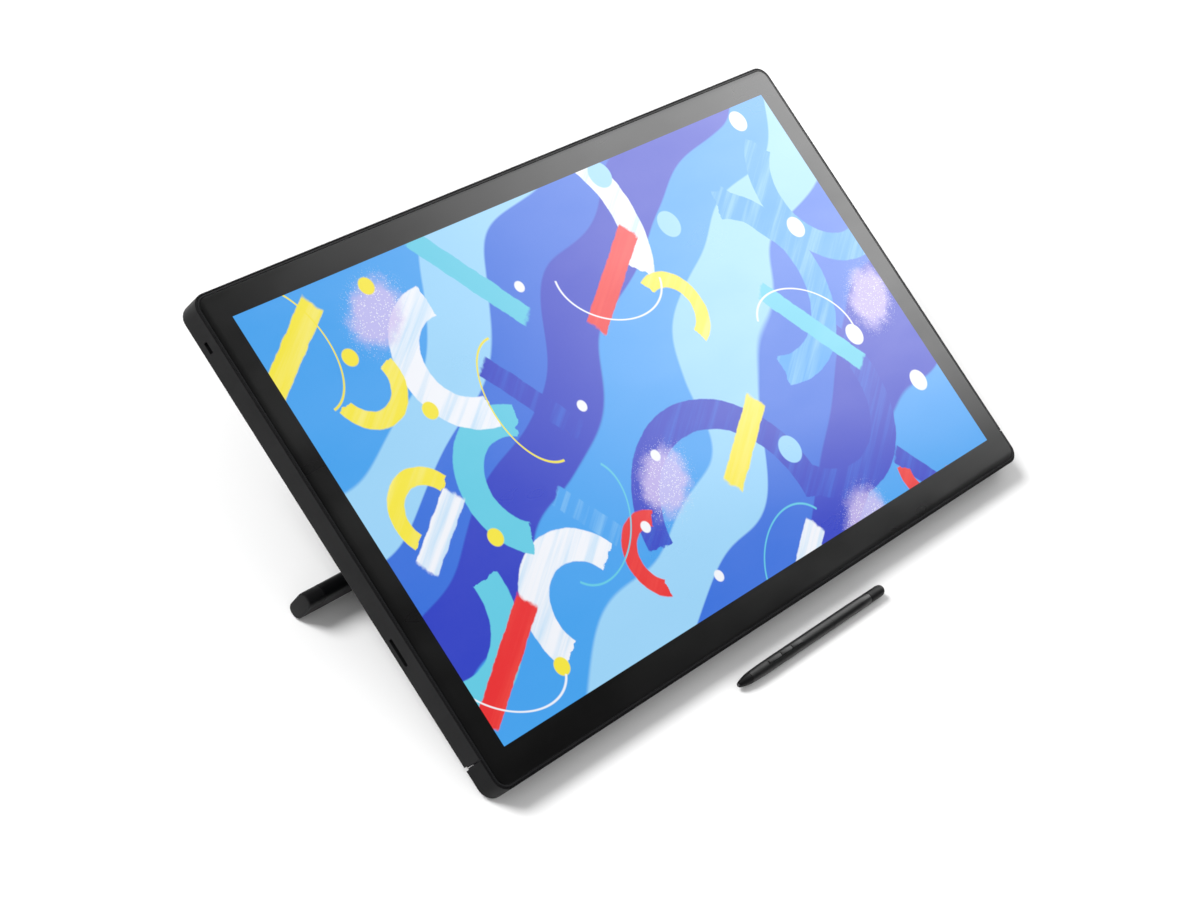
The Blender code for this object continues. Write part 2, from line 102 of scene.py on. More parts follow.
class Nodes:
    """Short calls for building one material's nodes."""

    def __init__(self, name, roughness, metallic=0.0):
        self.material = bpy.data.materials.new(name)
        self.material.use_nodes = True
        self.tree = self.material.node_tree
        self.shader = self.tree.nodes["Principled BSDF"]
        self.shader.inputs["Roughness"].default_value = roughness
        self.shader.inputs["Metallic"].default_value = metallic
        place = self.tree.nodes.new("ShaderNodeTexCoord")
        self.place = place.outputs["Object"]

    def put(self, socket, value):
        if isinstance(value, bpy.types.NodeSocket):
            self.tree.links.new(value, socket)
        elif value is not None:
            socket.default_value = value

    def math(self, operation, *values, clamp=False):
        node = self.tree.nodes.new("ShaderNodeMath")
        node.operation = operation
        node.use_clamp = clamp
        for socket, value in zip(node.inputs, values):
            self.put(socket, value)
        return node.outputs[0]

    def ramp(self, value, low, high, start=0.0, end=1.0, smooth=True):
        node = self.tree.nodes.new("ShaderNodeMapRange")
        node.interpolation_type = "SMOOTHSTEP" if smooth else "LINEAR"
        for key, item in (("Value", value), ("From Min", low), ("From Max", high),
                          ("To Min", start), ("To Max", end)):
            self.put(node.inputs[key], item)
        return node.outputs["Result"]

    def mix(self, factor, first, second):
        node = self.tree.nodes.new("ShaderNodeMix")
        node.data_type = "RGBA"
        self.put(node.inputs["Factor"], factor)
        for socket, value in zip((s for s in node.inputs if s.type == "RGBA"), (first, second)):
            self.put(socket, value)
        return next(s for s in node.outputs if s.type == "RGBA")

    def noise(self, scale, detail=2.0, rough=0.5, stretch=None, where=None):
        node = self.tree.nodes.new("ShaderNodeTexNoise")
        node.inputs["Scale"].default_value = scale
        node.inputs["Detail"].default_value = detail
        node.inputs["Roughness"].default_value = rough
        spot = where or self.place
        if stretch:
            mapping = self.tree.nodes.new("ShaderNodeMapping")
            mapping.inputs["Scale"].default_value = stretch
            self.tree.links.new(spot, mapping.inputs["Vector"])
            spot = mapping.outputs["Vector"]
        self.tree.links.new(spot, node.inputs["Vector"])
        return node.outputs["Fac"]

    def cells(self, scale, feature="F1"):
        node = self.tree.nodes.new("ShaderNodeTexVoronoi")
        node.feature = feature
        node.inputs["Scale"].default_value = scale
        self.tree.links.new(self.place, node.inputs["Vector"])
        return node.outputs["Distance"]

    def bump(self, height, distance, strength=1.0, before=None):
        node = self.tree.nodes.new("ShaderNodeBump")
        node.inputs["Strength"].default_value = strength
        node.inputs["Distance"].default_value = distance
        self.tree.links.new(height, node.inputs["Height"])
        if before is not None:
            self.tree.links.new(before, node.inputs["Normal"])
        return node.outputs["Normal"]

    def set(self, key, value):
        self.put(self.shader.inputs[key], value)


def shade(colour, factor):
    return (*(min(1.0, c * factor) for c in colour), 1.0)


def plastic(name, colour, roughness, grain=1400.0, depth=0.00003, spread=0.25, gloss=0.2):
    """Moulded plastic: fine spark-eroded grain, slight tone drift and worn-smooth patches."""
    n = Nodes(name, roughness)
    drift = n.noise(14.0, 3.0, 0.55)
    fine = n.noise(grain, 2.0, 0.6)
    colour_mix = n.mix(drift, shade(colour, 1.0 - spread), shade(colour, 1.0 + spread))
    n.set("Base Color", n.mix(n.ramp(fine, 0.35, 0.75, 0.0, 0.35), colour_mix, shade(colour, 1.7)))
    worn = n.noise(38.0, 4.0, 0.6)
    n.set("Roughness", n.ramp(worn, 0.3, 0.7, roughness - 0.05, roughness + 0.06))
    n.set("Normal", n.bump(fine, depth, 0.55, n.bump(n.noise(60.0, 1.0), 0.00004, 0.15)))
    n.shader.inputs["Specular IOR Level"].default_value = gloss
    return n.material


def rubber(name, colour):
    n = Nodes(name, 0.85)
    dust = n.noise(260.0, 4.0, 0.7)
    n.set("Base Color", n.mix(n.ramp(dust, 0.5, 0.8, 0.0, 0.5), shade(colour, 1.0), shade(colour, 3.0)))
    n.set("Roughness", n.ramp(dust, 0.2, 0.8, 0.78, 0.93))
    n.set("Normal", n.bump(n.noise(900.0, 3.0), 0.00006, 0.6))
    return n.material


def metal(name, colour, roughness, stretch=(6.0, 400.0, 400.0)):
    """Rolled or brushed metal with long scratches and a faint tarnish."""
    n = Nodes(name, roughness, 1.0)
    brushed = n.noise(6.0, 4.0, 0.7, stretch)
    stain = n.noise(22.0, 3.0, 0.6)
    tone = n.mix(stain, shade(colour, 0.82), shade(colour, 1.05))
    n.set("Base Color", n.mix(n.ramp(brushed, 0.4, 0.7, 0.0, 0.3), tone, shade(colour, 0.7)))
    n.set("Roughness", n.ramp(brushed, 0.3, 0.7, roughness - 0.07, roughness + 0.1))
    n.set("Normal", n.bump(brushed, 0.00002, 0.4))
    return n.material


def board(name, colour):
    """Circuit board: solder mask over tracks, pads and small gold dots."""
    n = Nodes(name, 0.4)
    track = n.ramp(n.cells(260.0, "DISTANCE_TO_EDGE"), 0.02, 0.06)
    pads = n.ramp(n.cells(420.0), 0.16, 0.2)
    mask = n.mix(track, shade(colour, 1.9), shade(colour, 1.0))
    n.set("Base Color", n.mix(pads, (0.55, 0.40, 0.16, 1.0), mask))
    n.set("Metallic", n.ramp(pads, 0.0, 1.0, 0.9, 0.0))
    n.set("Roughness", n.ramp(n.noise(90.0), 0.3, 0.7, 0.34, 0.5))
    n.set("Normal", n.bump(track, 0.00003, 0.5))
    return n.material


def clear(name, colour):
    n = Nodes(name, 0.2)
    haze = n.noise(30.0, 3.0)
    dots = n.ramp(n.cells(500.0), 0.2, 0.3)
    clouded = n.mix(haze, shade(colour, 0.9), shade(colour, 1.05))
    n.set("Base Color", n.mix(dots, shade(colour, 1.25), clouded))
    n.set("Roughness", n.ramp(haze, 0.3, 0.7, 0.14, 0.26))
    n.set("Normal", n.bump(dots, 0.00001, 0.3))
    return n.material


class Picture:
    """The abstract picture on the screen, in metres across the glass."""

    def __init__(self, n):
        self.n = n
        split = n.tree.nodes.new("ShaderNodeSeparateXYZ")
        n.tree.links.new(n.place, split.inputs[0])
        self.u = split.outputs["X"]
        self.v = split.outputs["Y"]
        self.edge = n.noise(90.0, 3.0, 0.6)

    def turned(self, angle, cx=0.0, cy=0.0):
        """Distances along and across a line through a centre."""
        n = self.n
        a = math.cos(angle)
        b = math.sin(angle)
        du = n.math("SUBTRACT", self.u, cx)
        dv = n.math("SUBTRACT", self.v, cy)
        along = n.math("ADD", n.math("MULTIPLY", du, a), n.math("MULTIPLY", dv, b))
        across = n.math("SUBTRACT", n.math("MULTIPLY", dv, a), n.math("MULTIPLY", du, b))
        return along, across

    def radius(self, cx, cy, squash=1.0, angle=0.0):
        n = self.n
        along, across = self.turned(angle, cx, cy)
        across = n.math("MULTIPLY", across, squash)
        return n.math("SQRT", n.math("ADD", n.math("MULTIPLY", along, along),
                                     n.math("MULTIPLY", across, across)))

    def brushed(self, value, amount):
        """Give an edge the unevenness of a dry brush."""
        wobble = self.n.math("MULTIPLY", self.n.math("SUBTRACT", self.edge, 0.5), amount)
        return self.n.math("ADD", value, wobble)

    def inside(self, value, limit, soft=0.0006):
        """1 where value is under limit."""
        return self.n.ramp(value, limit - soft, limit + soft, 1.0, 0.0)

    def both(self, first, second):
        return self.n.math("MULTIPLY", first, second)

    def band(self, angle, cx, cy, half_length, half_width, taper=0.0, rough=0.004):
        """A straight brush stroke whose width may grow along it."""
        n = self.n
        along, across = self.turned(angle, cx, cy)
        wide = n.math("ADD", half_width, n.math("MULTIPLY", along, taper))
        body = n.math("SUBTRACT", n.math("ABSOLUTE", self.brushed(across, rough)), wide)
        ends = n.math("SUBTRACT", n.math("ABSOLUTE", self.brushed(along, rough * 3)), half_length)
        return self.both(self.inside(body, 0.0), self.inside(ends, 0.0, 0.0015))

    def arc(self, cx, cy, size, half_width, squash=1.0, angle=0.0, side=None, rough=0.0, taper=0.0):
        """Part of a ring; side = (angle, cx, cy) keeps what lies to the left of that line.
        With a taper the ring grows wider with distance from that line."""
        n = self.n
        r = self.radius(cx, cy, squash, angle)
        if rough:
            r = self.brushed(r, rough)
        wide = half_width
        if side:
            across = self.turned(*side)[1]
            if taper:
                wide = n.math("ADD", half_width, n.math("MULTIPLY", across, taper))
        off = n.math("SUBTRACT", n.math("ABSOLUTE", n.math("SUBTRACT", r, size)), wide)
        ring = self.inside(off, 0.0)
        if side:
            end = self.brushed(across, 0.010) if rough else across
            ring = self.both(ring, n.ramp(end, -0.0005, 0.0005))
        return ring

    def streaked(self, angle, paint, tint):
        """Paint with the streaks a wide brush leaves along its stroke."""
        n = self.n
        along, across = self.turned(angle)
        spot = n.tree.nodes.new("ShaderNodeCombineXYZ")
        n.tree.links.new(n.math("MULTIPLY", along, 6.0), spot.inputs[0])
        n.tree.links.new(n.math("MULTIPLY", across, 130.0), spot.inputs[1])
        hair = n.noise(1.0, 3.0, 0.6, where=spot.outputs[0])
        return n.mix(n.ramp(hair, 0.42, 0.72, 0.0, 0.55), paint, tint)

    def spot(self, cx, cy, size, squash, angle):
        return self.inside(self.radius(cx, cy, squash, angle), size)


BLUE = (0.020, 0.045, 0.55, 1.0)
MID = (0.030, 0.16, 0.72, 1.0)
SKY = (0.05, 0.36, 0.86, 1.0)
PALE = (0.33, 0.66, 0.94, 1.0)
CYAN = (0.12, 0.60, 0.78, 1.0)
WHITE = (0.90, 0.92, 0.97, 1.0)
RED = (0.82, 0.020, 0.020, 1.0)
YELLOW = (0.92, 0.80, 0.04, 1.0)
LILAC = (0.62, 0.52, 0.86, 1.0)


def scattered(count, shift):
    """Places spread evenly over the picture by a fixed sequence, each with its running number."""
    for index in range(count):
        step = index + shift
        x = SPREAD_W * ((step * 0.75488) % 1.0 - 0.5)
        y = SPREAD_H * ((step * 0.56984) % 1.0 - 0.5)
        yield x, y, step


def ground_colour(n, p):
    """Broad fields of blue, evenly spaced and slanting one way, under everything else."""
    across = p.turned(SLANT)[1]
    drift = n.math("MULTIPLY", n.math("SUBTRACT", n.noise(5.0, 1.0), 0.5), 0.16)
    field = n.math("ADD", across, drift)
    paints = (SKY, BLUE, MID, PALE)
    colour = SKY
    for index in range(1, 9):
        edge = -0.225 + 0.05 * index
        colour = n.mix(n.ramp(field, edge - 0.0012, edge + 0.0012), colour, paints[index % 4])
    return colour


def picture_colour(n):
    """A generic abstract: rings, bars, dots and fine loops spread by formula over blue fields."""
    p = Picture(n)
    colour = ground_colour(n, p)
    white = p.streaked(SLANT, WHITE, PALE)
    sky = p.streaked(SLANT, SKY, PALE)
    blue = p.streaked(SLANT, BLUE, MID)
    red = p.streaked(SLANT, RED, (0.90, 0.07, 0.05, 1.0))
    gold = p.streaked(SLANT, YELLOW, (0.95, 0.88, 0.30, 1.0))
    for x, y, step in scattered(10, 0.3):
        paint = (white, sky, blue, white, CYAN)[int(step) % 5]
        turn = 1.7 * step
        colour = n.mix(p.arc(x, y, 0.040 + 0.012 * (int(step) % 4), 0.011, side=(turn, x, y),
                             rough=0.002), colour, paint)
    for x, y, step in scattered(12, 20.6):
        paint = (white, blue, red, sky, gold, CYAN)[int(step) % 6]
        angle = SLANT + math.pi / 2 * (int(step) % 2)
        colour = n.mix(p.band(angle, x, y, 0.030 + 0.008 * (int(step) % 3), 0.008, rough=0.003),
                       colour, paint)
    colour = speckle(n, p, colour)
    for x, y, step in scattered(5, 41.2):
        paint = (red, gold)[int(step) % 2]
        colour = n.mix(p.arc(x, y, 0.024, 0.006, side=(2.3 * step, x, y), rough=0.002), colour, paint)
    for x, y, step in scattered(18, 60.1):
        paint = (WHITE, YELLOW, WHITE, PALE)[int(step) % 4]
        colour = n.mix(p.spot(x, y, 0.004 + 0.002 * (int(step) % 4), 1.0, 0.0), colour, paint)
    for x, y, step in scattered(7, 90.8):
        paint = (WHITE, CYAN, YELLOW)[int(step) % 3]
        colour = n.mix(p.arc(x, y, 0.045, 0.0008, 1.5, step, side=(step, x, y)), colour, paint)
    return p, colour


def speckle(n, p, colour):
    """Lilac clouds breaking up into fine white grains."""
    grain = n.ramp(n.cells(700.0), 0.20, 0.30, 1.0, 0.0)
    for cx, cy, _ in scattered(4, 130.4):
        reach = p.radius(cx, cy, 1.4, 0.6)
        region = n.ramp(reach, 0.014, 0.040, 1.0, 0.0)
        cloud = n.ramp(p.brushed(reach, 0.02), 0.016, 0.032, 0.8, 0.0)
        colour = n.mix(cloud, colour, LILAC)
        colour = n.mix(p.both(grain, region), colour, WHITE)
    return colour


def screen_glass():
    """Etched cover glass: lit picture in the middle, black printed border round it."""
    n = Nodes("screen_glass", 0.30)
    p, paint = picture_colour(n)
    low_x, high_x, low_y, high_y = (value * MM for value in PICTURE)
    middle_y = (low_y + high_y) / 2
    reach_x = n.math("SUBTRACT", n.math("ABSOLUTE", p.u), high_x)
    reach_y = n.math("SUBTRACT", n.math("ABSOLUTE", n.math("SUBTRACT", p.v, middle_y)),
                     (high_y - low_y) / 2)
    outside = n.math("MAXIMUM", reach_x, reach_y)
    lit = n.ramp(outside, -0.0002, 0.0001, 1.0, 0.0)
    ink = n.mix(n.noise(18.0, 3.0), (0.0008, 0.0008, 0.0009, 1.0), (0.0014, 0.0014, 0.0015, 1.0))
    cell = n.mix(n.noise(300.0), (0.010, 0.010, 0.012, 1.0), (0.014, 0.014, 0.018, 1.0))
    n.set("Base Color", n.mix(lit, ink, cell))
    n.set("Emission Color", n.mix(lit, (0.0, 0.0, 0.0, 1.0), paint))
    n.shader.inputs["Emission Strength"].default_value = 0.95
    etch = n.noise(5200.0, 2.0, 0.6)
    smear = n.noise(9.0, 3.0, 0.6, (1.0, 2.5, 1.0))
    n.set("Roughness", n.ramp(smear, 0.3, 0.7, 0.27, 0.34))
    n.set("Normal", n.bump(etch, 0.000004, 0.35))
    n.shader.inputs["IOR"].default_value = 1.5
    return n.material


# ---------------------------------------------------------------- shapes

def finish_piece(name, bm, place, material, sharp=38.0):
    """Make an object from a bmesh in millimetres, placed by a matrix."""
    bmesh.ops.recalc_face_normals(bm, faces=bm.faces)
    bmesh.ops.scale(bm, verts=bm.verts, vec=(MM, MM, MM))
    mesh = bpy.data.meshes.new(name)
    bm.to_mesh(mesh)
    bm.free()
    obj = bpy.data.objects.new(name, mesh)
    bpy.context.scene.collection.objects.link(obj)
    obj.matrix_world = place
    if material is not None:
        mesh.materials.append(material)
        shade_piece(obj, sharp)
    return obj


def shade_piece(obj, sharp=38.0):
    obj.data.shade_smooth()
    obj.data.set_sharp_from_angle(angle=math.radians(sharp))


def even_normals(obj):
    """Keep big flat faces flat beside rounded edges."""
    modifier = obj.modifiers.new("even_normals", "WEIGHTED_NORMAL")
    modifier.keep_sharp = True
    modifier.weight = 90


def slab(name, x, y, z, place=DISPLAY, material=None, corner=0.0, rear=0.0, front=0.0,
         corner_steps=18, rim_steps=5):
    """A block with rounded upright edges and rounded front and rear rims."""
    bm = bmesh.new()
    bmesh.ops.create_cube(bm, size=1.0)
    bmesh.ops.scale(bm, verts=bm.verts, vec=(x[1] - x[0], y[1] - y[0], z[1] - z[0]))
    bmesh.ops.translate(bm, verts=bm.verts, vec=(sum(x) / 2, sum(y) / 2, sum(z) / 2))
    if corner:
        upright = [e for e in bm.edges if abs(e.verts[0].co.z - e.verts[1].co.z) > 1e-4]
        bmesh.ops.bevel(bm, geom=upright, offset=corner, segments=corner_steps, profile=0.5,
                        affect="EDGES", clamp_overlap=False)
    for level, radius in ((z[0], rear), (z[1], front)):
        if radius:
            rim = [e for e in bm.edges
                   if all(abs(v.co.z - level) < 1e-4 for v in e.verts)
                   and len({round(f.normal.z) for f in e.link_faces}) == 2]
            bmesh.ops.bevel(bm, geom=rim, offset=radius, segments=rim_steps, profile=0.5,
                            affect="EDGES", clamp_overlap=False)
    return finish_piece(name, bm, place, material)


def flat_shape(name, outline, start, end, place, material):
    """An outline in (Y, Z) carried along X."""
    bm = bmesh.new()
    first = bm.faces.new([bm.verts.new((start, a, b)) for a, b in outline])
    grown = bmesh.ops.extrude_face_region(bm, geom=[first])
    moved = [v for v in grown["geom"] if isinstance(v, bmesh.types.BMVert)]
    bmesh.ops.translate(bm, verts=moved, vec=(end - start, 0.0, 0.0))
    return finish_piece(name, bm, place, material)


def turned(name, profile, place, material, sides=64):
    """A piece turned about the X axis of its place, from (along, radius) pairs."""
    bm = bmesh.new()
    rings = []
    for along, radius in profile:
        if radius < 0.001:
            rings.append([bm.verts.new((along, 0.0, 0.0))])
            continue
        ring = []
        for step in range(sides):
            angle = 2 * math.pi * step / sides
            ring.append(bm.verts.new((along, radius * math.cos(angle), radius * math.sin(angle))))
        rings.append(ring)
    for one, two in zip(rings, rings[1:]):
        for step in range(sides):
            after = (step + 1) % sides
            if len(one) == 1:
                bm.faces.new((one[0], two[step], two[after]))
            elif len(two) == 1:
                bm.faces.new((one[step], two[0], one[after]))
            else:
                bm.faces.new((one[step], two[step], two[after], one[after]))
    return finish_piece(name, bm, place, material, 30.0)


def cut(target, cutter):
    """Take a cutter's shape away and bake the result."""
    modifier = target.modifiers.new("cut", "BOOLEAN")
    modifier.operation = "DIFFERENCE"
    modifier.solver = "EXACT"
    modifier.object = cutter
    bpy.context.view_layer.update()
    graph = bpy.context.evaluated_depsgraph_get()
    mesh = bpy.data.meshes.new_from_object(target.evaluated_get(graph))
    target.modifiers.clear()
    target.data = mesh
    bpy.data.objects.remove(cutter, do_unlink=True)


def cut_box(target, x, y, z, place=DISPLAY, corner=0.0, steps=6):
    cut(target, slab("cutter", x, y, z, place, None, corner, corner_steps=steps))


def pill(target, x_mid, y, z, half_long, half_tall, along="y"):
    """Cut a slot with rounded ends through an upright wall."""
    bm = bmesh.new()
    points = []
    for end in (1, -1):
        for step in range(13):
            angle = math.pi * (step / 12 - 0.5) + (0.0 if end == 1 else math.pi)
            points.append((end * (half_long - half_tall) + half_tall * math.cos(angle),
                           half_tall * math.sin(angle)))
    if along == "y":
        ring = [bm.verts.new((x_mid - 4.0, y + a, z + b)) for a, b in points]
        step = (8.0, 0.0, 0.0)
    else:
        ring = [bm.verts.new((x_mid + a, y - 4.0, z + b)) for a, b in points]
        step = (0.0, 8.0, 0.0)
    grown = bmesh.ops.extrude_face_region(bm, geom=[bm.faces.new(ring)])
    moved = [v for v in grown["geom"] if isinstance(v, bmesh.types.BMVert)]
    bmesh.ops.translate(bm, verts=moved, vec=step)
    cut(target, finish_piece("cutter", bm, DISPLAY, None))


def oval(half_a, half_b, radius, steps=14):
    points = []
    for quarter, (sa, sb) in enumerate(((1, 1), (-1, 1), (-1, -1), (1, -1))):
        for step in range(steps + 1):
            angle = math.pi / 2 * (quarter + step / steps)
            points.append((sa * (half_a - radius) + radius * math.cos(angle),
                           sb * (half_b - radius) + radius * math.sin(angle)))
    return points


def stands_for(piece, body, slot, *nodes):
    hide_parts(*nodes)
    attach(piece, body)


# ---------------------------------------------------------------- display

def front(looks):
    glass = slab("screen", (-280.9, 280.9), (-166.8, 166.8), (-1.1, 0.0), DISPLAY,
                 looks["glass"], corner=7.3, front=0.35, rim_steps=3)
    shade_piece(glass, 20.0)
    stands_for(glass, "tablet", "black_glass", "cover_glass")
    lip = slab("front_lip", (-282.3, 282.3), (-168.2, 168.2), (-4.5, -0.1), DISPLAY,
               looks["lip"], corner=8.7, front=0.3, rim_steps=4)
    cut_box(lip, (-281.2, 281.2), (-167.1, 167.1), (-1.4, 3.0), corner=7.6, steps=18)
    cut_box(lip, (-268.5, 268.5), (-151.4, 154.0), (-8.0, 2.0))
    shade_piece(lip)
    stands_for(lip, "tablet", "grey_lip", "mid_frame")


def shell(name, material):
    """The outer shell with its hollow, before it is split."""
    body = slab(name, (-HALF_W, HALF_W), (-HALF_D, HALF_D), (BACK, -0.15), DISPLAY, material,
                corner=CORNER, rear=REAR_ROUND, front=0.6, rim_steps=6)
    cut_box(body, (-282.65, 282.65), (-168.55, 168.55), (-4.8, 3.0), corner=9.0, steps=18)
    cut_box(body, (-HALF_W + WALL, HALF_W - WALL), (-164.5, HALF_D - WALL),
            (BACK + 2.0, 1.0), corner=7.5)
    return body


def covers(looks):
    rear = shell("rear_shell", looks["body"])
    cut_box(rear, (-300.0, 300.0), (-200.0, SPLIT + 0.25), (-30.0, 10.0))
    cut_box(rear, (-310.0, 310.0), (SPLIT - 2.1, SPLIT + 1.1), (-31.0, -13.5))
    cut_box(rear, (-180.0, 180.0), (16.0, 74.0), (-30.0, -12.0))
    for side in (-1, 1):
        pill(rear, side * 283.0, -68.9, -11.1, 9.35, 1.4)
        for ear in (-34.25, 34.25):
            x = side * 150.0 + ear
            cut_box(rear, (x - 2.1, x + 2.1), (HINGE_Y - 5.3, HINGE_Y + 5.3), (-30.0, -15.3))
    cut_box(rear, (-290.0, -280.0), (136.25, 143.75), (-10.9, -7.9))
    pill(rear, 228.0, 168.5, -9.4, 8.0, 2.2, "x")
    shade_piece(rear)
    even_normals(rear)
    stands_for(rear, "tablet", "black_body", "rear_cover")
    # The lower shell gets a darker copy of the body's black, as painted shade on its front edge.
    trim = shell("lower_shell", looks["trim"])
    cut_box(trim, (-300.0, 300.0), (SPLIT - 0.25, 200.0), (-30.0, 10.0))
    cut_box(trim, (-310.0, 310.0), (SPLIT - 1.1, SPLIT + 2.1), (-31.0, -13.5))
    cut_box(trim, (-240.3, 240.3), (-3.8, 3.8), (-2.0, 2.8), WORLD)
    shade_piece(trim)
    even_normals(trim)
    stands_for(trim, "tablet", "black_body", "lower_trim")


def bay(looks):
    cover = slab("bay_shell", (-205.0, 205.0), (2.0, 90.0), (-29.5, -17.8), DISPLAY,
                 looks["body"], corner=8.0, rear=2.0, rim_steps=6)
    cut_box(cover, (-203.0, 203.0), (4.0, 88.0), (-27.5, -10.0), corner=6.0)
    for column in range(-16, 17):
        x = column * 5.5
        cut_box(cover, (x - 1.2, x + 1.2), (85.0, 95.0), (-25.2, -20.8))
    for low, high, tall in ((22.0, 37.0, 5.6), (44.0, 53.4, 3.6), (59.0, 68.4, 3.6)):
        cut_box(cover, (200.0, 210.0), (low - 0.3, high + 0.3), (-20.5 - tall, -19.9))
    for x in (-37.5, 37.5):
        for y in (8.5, 83.5):
            cut(cover, round_cutter(3.2, (x, y), -35.0, -25.0))
    for x in (-194.0, 194.0):
        for y in (10.0, 82.0):
            cut(cover, round_cutter(3.2, (x, y), -35.0, -28.4))
            cut(cover, round_cutter(1.6, (x, y), -35.0, -20.0))
    shade_piece(cover)
    even_normals(cover)
    stands_for(cover, "tablet", "black_body", "bay_cover")


def round_cutter(radius, centre, start, end):
    bm = bmesh.new()
    bmesh.ops.create_cone(bm, cap_ends=True, segments=40, radius1=radius, radius2=radius,
                          depth=end - start)
    bmesh.ops.translate(bm, verts=bm.verts, vec=(centre[0], centre[1], (start + end) / 2))
    return finish_piece("cutter", bm, DISPLAY, None)


# ---------------------------------------------------------------- stand

def soften_ends(obj, offset, levels):
    """Round the rims that lie at given X positions (millimetres)."""
    bm = bmesh.new()
    bm.from_mesh(obj.data)
    for level in levels:
        rim = [e for e in bm.edges if all(abs(v.co.x - level * MM) < 1e-6 for v in e.verts)]
        bmesh.ops.bevel(bm, geom=rim, offset=offset * MM, segments=5, profile=0.5,
                        affect="EDGES", clamp_overlap=True)
    bm.to_mesh(obj.data)
    bm.free()
    shade_piece(obj)


def stand(looks):
    inner = BAR_END - CAP - 0.3
    outline = [(a, b - BAR_DROP) for a, b in oval(BAR_THICK / 2, BAR_TALL / 2, BAR_ROUND)]
    bar = flat_shape("stand_tube", outline, -inner, inner, STAND, looks["bar"])
    soften_ends(bar, 0.3, (-inner, inner))
    low_y = (BAR_ROUND - BAR_THICK / 2) * math.cos(STAND_LEAN)
    low_y += (BAR_TALL / 2 - BAR_ROUND) * math.sin(STAND_LEAN) + BAR_DROP * math.sin(STAND_LEAN)
    for ends in ((-230.3, -89.7), (89.7, 230.3)):
        cut_box(bar, ends, (low_y - 2.9, low_y + 2.9),
                (-HINGE_WORLD_Z - 2.0, -HINGE_WORLD_Z + 1.5), STAND_LEVEL)
    shade_piece(bar)
    stands_for(bar, "stand", "dark_bar", "stand_bar")
    for side, label in ((-1, "left"), (1, "right")):
        ends = sorted((side * (inner + 0.3), side * BAR_END))
        cap = flat_shape(f"stand_cap_{label}", outline, *ends, STAND, looks["cap"])
        soften_ends(cap, 1.2, (side * BAR_END,))
        stands_for(cap, "stand", "grey_cap", f"stand_end_cap_{label}")


# ---------------------------------------------------------------- pen

def pen(looks):
    nib = turned("nib_tip", ((0.0, 0.0), (0.04, 0.25), (0.15, 0.45), (0.4, 0.68), (0.8, 0.8),
                             (1.6, 0.85), (16.0, 0.85), (16.0, 0.0)), PEN, looks["nib"])
    stands_for(nib, "nib", "nib_grey", "pen_nib")
    cone = turned("grip_cone", ((1.3, 1.2), (1.35, 1.5), (1.6, 1.68), (3.0, 2.1), (6.0, 2.88),
                                (9.0, 3.42), (11.3, 3.74), (11.5, 3.74), (11.6, 3.66),
                                (11.6, 3.0), (4.0, 1.2), (1.3, 1.2)), PEN, looks["grip"])
    stands_for(cone, "pen", "pen_grip", "pen_cone")
    outer = [(11.9, 3.7), (12.0, 3.8), (16.0, 3.98), (20.0, 4.12), (26.0, 4.23), (32.0, 4.3),
             (100.7, 4.3), (100.85, 4.18), (101.15, 4.18), (101.3, 4.3), (122.0, 4.3),
             (134.0, 4.22), (144.7, 4.12), (145.0, 4.0)]
    barrel = turned("grip_barrel", [(11.9, 3.0)] + outer + [(145.0, 3.0), (11.9, 3.0)], PEN,
                    looks["pen"])
    bm = bmesh.new()
    points = []
    for end in (1, -1):
        for step in range(13):
            angle = math.pi * (step / 12 - 0.5) + (0.0 if end == 1 else math.pi)
            points.append((48.8 + end * 16.65 + 1.45 * math.cos(angle), 1.45 * math.sin(angle)))
    grown = bmesh.ops.extrude_face_region(bm, geom=[bm.faces.new([bm.verts.new((a, b, 2.0))
                                                                 for a, b in points])])
    moved = [v for v in grown["geom"] if isinstance(v, bmesh.types.BMVert)]
    bmesh.ops.translate(bm, verts=moved, vec=(0.0, 0.0, 6.0))
    cut(barrel, finish_piece("cutter", bm, PEN, None))
    shade_piece(barrel, 30.0)
    stands_for(barrel, "pen", "pen_plastic", "pen_barrel")
    tail = turned("tail_end", ((136.0, 0.0), (136.0, 2.6), (145.3, 2.6), (145.3, 4.0),
                               (145.45, 4.12), (152.0, 4.1), (158.0, 4.05), (159.2, 3.92),
                               (160.2, 3.68), (161.0, 3.3), (161.6, 2.8), (161.9, 2.2),
                               (162.0, 1.6), (162.0, 0.0)), PEN, looks["grip"])
    stands_for(tail, "tail_cap", "pen_grip", "pen_tail_cap")
    for number, (start, end) in enumerate(PEN_BUTTONS, 1):
        crown = []
        for step in range(13):
            across = -1.2 + 2.4 * step / 12
            crown.append((across, math.sqrt(4.75 ** 2 - across ** 2)))
        outline = [(1.2, 2.45), (-1.2, 2.45)] + crown
        button = flat_shape(f"side_key_{number}", outline, start, end, PEN, looks["key"])
        soften_ends(button, 0.35, (start, end))
        stands_for(button, f"side_button_{number}", "pen_grip", f"pen_button_{number}")


# ---------------------------------------------------------------- looks and stage

